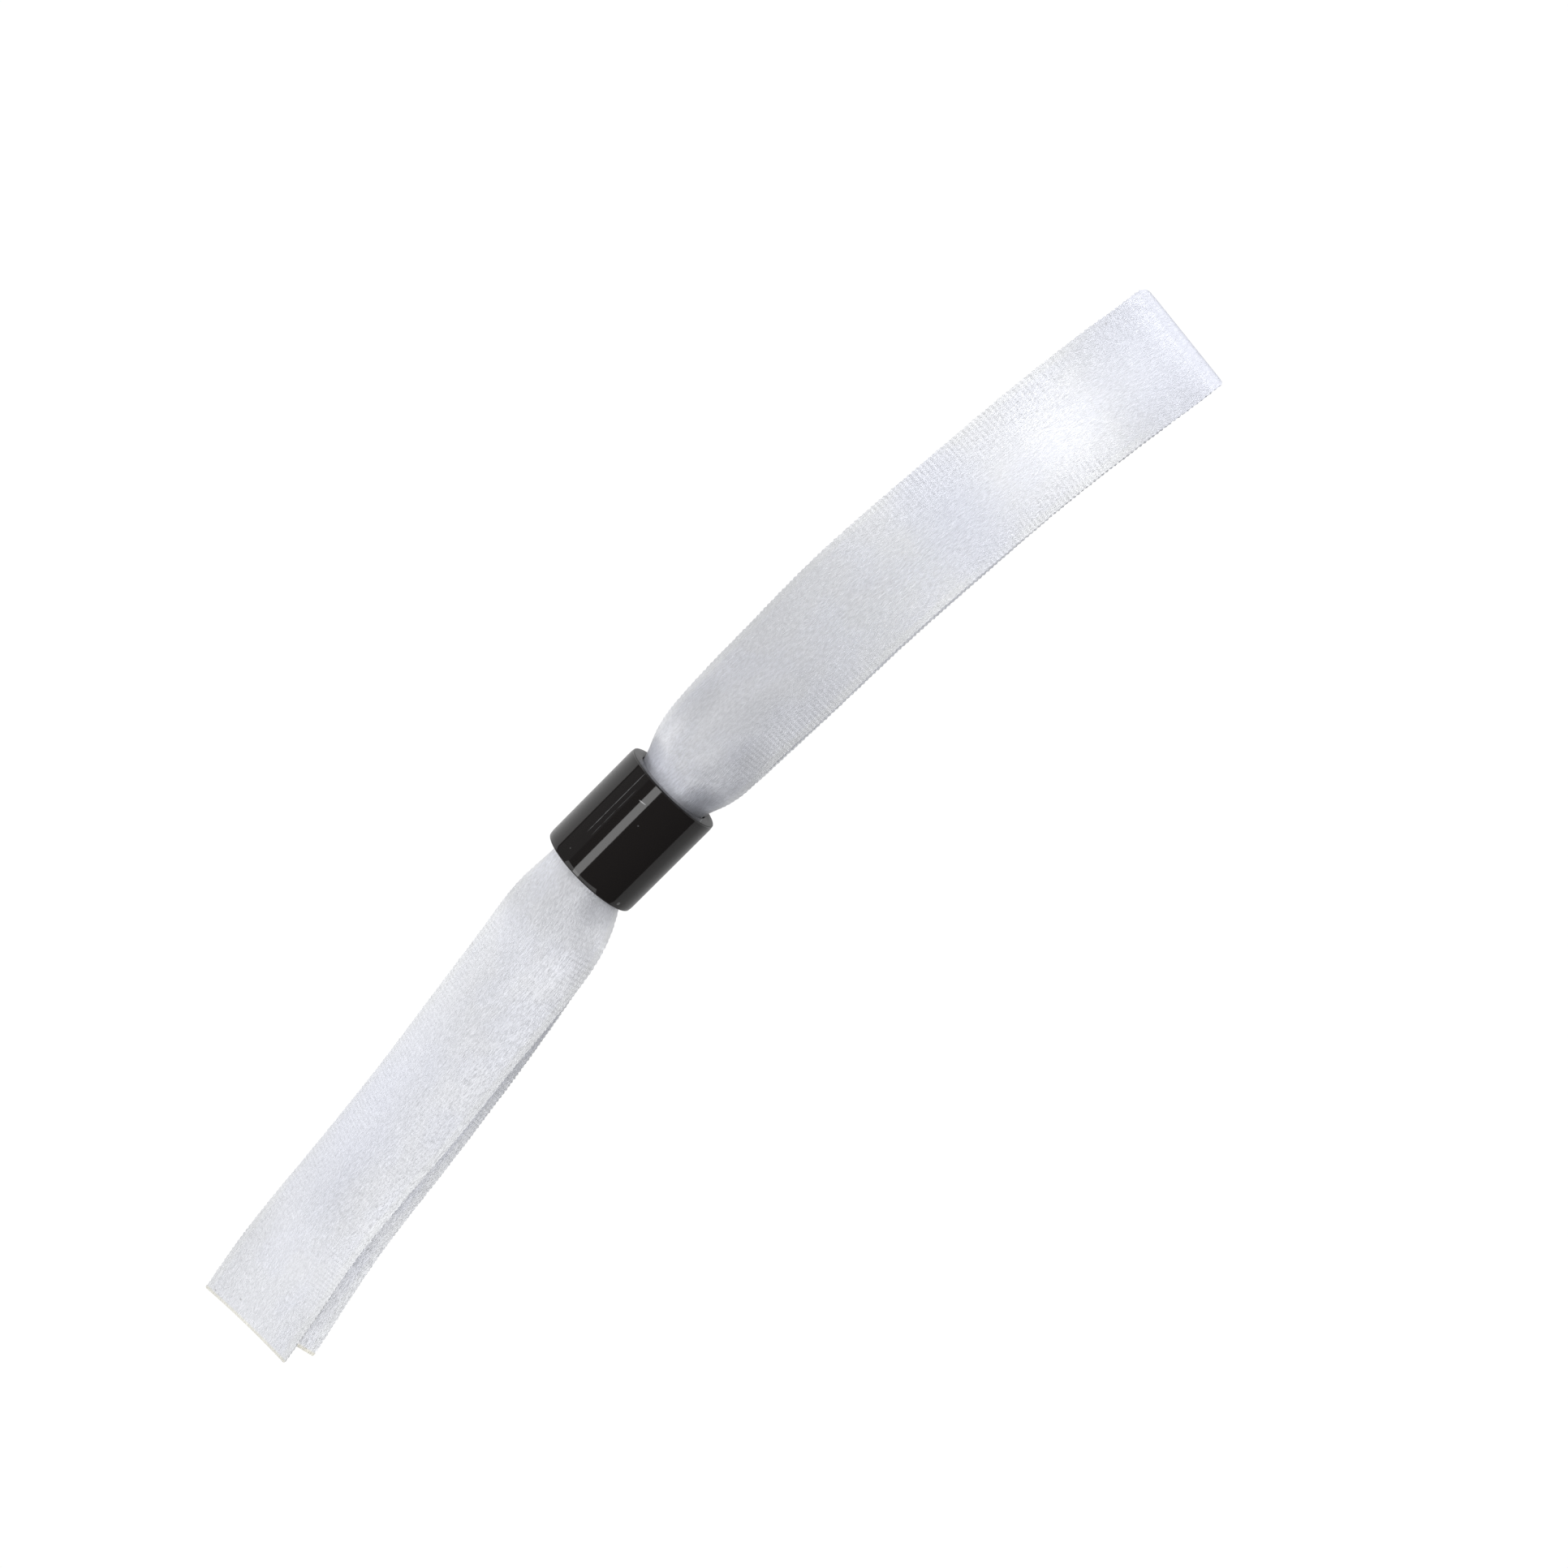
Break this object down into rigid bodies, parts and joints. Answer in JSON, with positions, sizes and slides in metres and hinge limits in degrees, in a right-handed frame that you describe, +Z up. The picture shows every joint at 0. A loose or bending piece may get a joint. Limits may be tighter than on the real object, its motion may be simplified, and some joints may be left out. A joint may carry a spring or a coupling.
{
  "type": "locking wristband",
  "caption": "Satin ribbon folded in half and held by a round one-way closure, lying flat with its wrist loop open.",
  "frame": {"origin": "bottom centre of the whole band's box, on the surface that it lies on", "axes": "+X along the closure's axis towards the wrist loop's fold, +Y across the band, +Z up from the surface"},
  "size_m": [0.1762, 0.0268, 0.0138],
  "materials": {
    "ribbon": "white satin with fine threads along its length",
    "closure": "glossy black moulded plastic"
  },
  "bodies": {
    "root": {"ribbon": "ribbon", "closure": "closure"}
  },
  "joints": []
}
